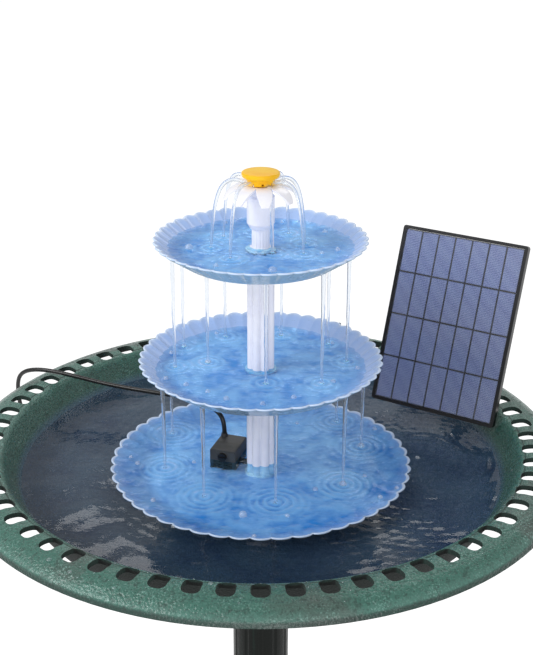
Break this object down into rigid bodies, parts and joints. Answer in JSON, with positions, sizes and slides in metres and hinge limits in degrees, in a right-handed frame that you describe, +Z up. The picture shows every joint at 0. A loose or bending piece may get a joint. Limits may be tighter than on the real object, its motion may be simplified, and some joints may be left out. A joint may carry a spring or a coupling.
{
  "type": "bird bath",
  "caption": "Pedestal bird bath with a slotted brim, a three-tier solar fountain and its tilting solar panel",
  "frame": {"origin": "centre of the foot, on the ground", "axes": "+Z up along the pedestal, -Y towards the front, +X to the right, where the solar panel stands"},
  "size_m": [0.5098, 0.5098, 0.9419],
  "materials": {
    "patina": "verdigris green over dark bronze, hammered, satin",
    "pedestal_patina": "dark green-black, satin",
    "coupler": "moulded",
    "tray_blue": "pale blue, glossy",
    "white_plastic": "white, satin gloss",
    "yellow_plastic": "yellow, satin",
    "pump_black": "fine moulded grain",
    "black_plastic": "satin",
    "steel": "bright zinc",
    "core_steel": "laminated",
    "copper": "enamelled wire",
    "ferrite": "ground",
    "shaft_ceramic": "polished",
    "soft_rubber": "matt",
    "seal_rubber": "translucent white",
    "foam": "open-cell foam",
    "solar_cell": "blue-violet cells with fine lines",
    "clear_cover": "clear",
    "board": "circuit board",
    "cord_black": "satin sheath"
  },
  "bodies": {
    "stand": {"base_foot": "pedestal_patina", "column_lower": "pedestal_patina", "column_middle": "pedestal_patina", "column_upper": "pedestal_patina", "pedestal_couplers": "coupler", "basin": "patina", "lower_tray": "tray_blue", "lower_column": "white_plastic", "lower_pipe": "white_plastic", "pump_housing": "pump_black", "stator_core": "core_steel", "motor_coil": "copper", "pump_rear_cover": "pump_black", "rotor_shaft": "shaft_ceramic", "volute_cover": "pump_black", "suction_cups": "soft_rubber", "pump_elbow": "soft_rubber", "pump_gland": "soft_rubber", "panel_leg": "black_plastic", "clamp_plate": "black_plastic", "clamp_bolts": "steel", "clamp_nuts": "steel", "tilt_bolt": "steel", "pump_cord": "cord_black", "cord_coil": "cord_black", "panel_cord": "cord_black", "cord_plug": "cord_black", "cord_socket": "cord_black", "coil_tie": "black_plastic", "cable_ties": "black_plastic"},
    "middle_tier": {"middle_tray": "tray_blue", "middle_column": "white_plastic", "middle_seal": "seal_rubber", "middle_pipe": "white_plastic"},
    "upper_tier": {"upper_tray": "tray_blue", "riser": "white_plastic", "upper_seal": "seal_rubber", "upper_pipe": "white_plastic"},
    "nozzle": {"nozzle_sleeve": "white_plastic", "flower_petals": "white_plastic", "flower_disc": "yellow_plastic"},
    "strainer": {"strainer_cover": "pump_black", "strainer_foam": "foam"},
    "dial": {"flow_dial": "black_plastic"},
    "impeller": {"impeller": "pump_black", "rotor_magnet": "ferrite"},
    "panel": {"panel_frame": "black_plastic", "solar_cells": "solar_cell", "panel_cover": "clear_cover", "panel_back": "black_plastic", "junction_box": "black_plastic", "junction_board": "board", "junction_lid": "black_plastic", "panel_gland": "soft_rubber", "tilt_bracket": "black_plastic", "bracket_screws": "steel", "panel_lead": "cord_black"},
    "knob": {"tilt_knob": "black_plastic"}
  },
  "joints": [
    {"name": "middle_lift", "type": "slide", "parent": "stand", "child": "middle_tier", "axis": [0, 0, 1], "range_m": [0, 0.06]},
    {"name": "upper_lift", "type": "slide", "parent": "middle_tier", "child": "upper_tier", "axis": [0, 0, 1], "range_m": [0, 0.06]},
    {"name": "nozzle_lift", "type": "slide", "parent": "upper_tier", "child": "nozzle", "axis": [0, 0, 1], "range_m": [0, 0.03]},
    {"name": "strainer_slide", "type": "slide", "parent": "stand", "child": "strainer", "axis": [-0.319, -0.9478, 0], "range_m": [0, 0.025]},
    {"name": "dial_turn", "type": "hinge", "parent": "strainer", "child": "dial", "pos_m": [-0.03273, -0.00133, 0.69], "axis": [-0.319, -0.9478, 0], "range_deg": [0, 120]},
    {"name": "impeller_spin", "type": "hinge", "parent": "stand", "child": "impeller", "pos_m": [-0.029, 0.00976, 0.6785], "axis": [0.319, 0.9478, 0], "continuous": true},
    {"name": "panel_tilt", "type": "hinge", "parent": "stand", "child": "panel", "pos_m": [0.17499, 0.09981, 0.77079], "axis": [-0.8499, 0.527, 0], "range_deg": [0, 30], "deforming": ["panel_lead"]},
    {"name": "knob_turn", "type": "hinge", "parent": "stand", "child": "knob", "pos_m": [0.18468, 0.09381, 0.77079], "axis": [0.8499, -0.527, 0], "range_deg": [0, 180]}
  ]
}
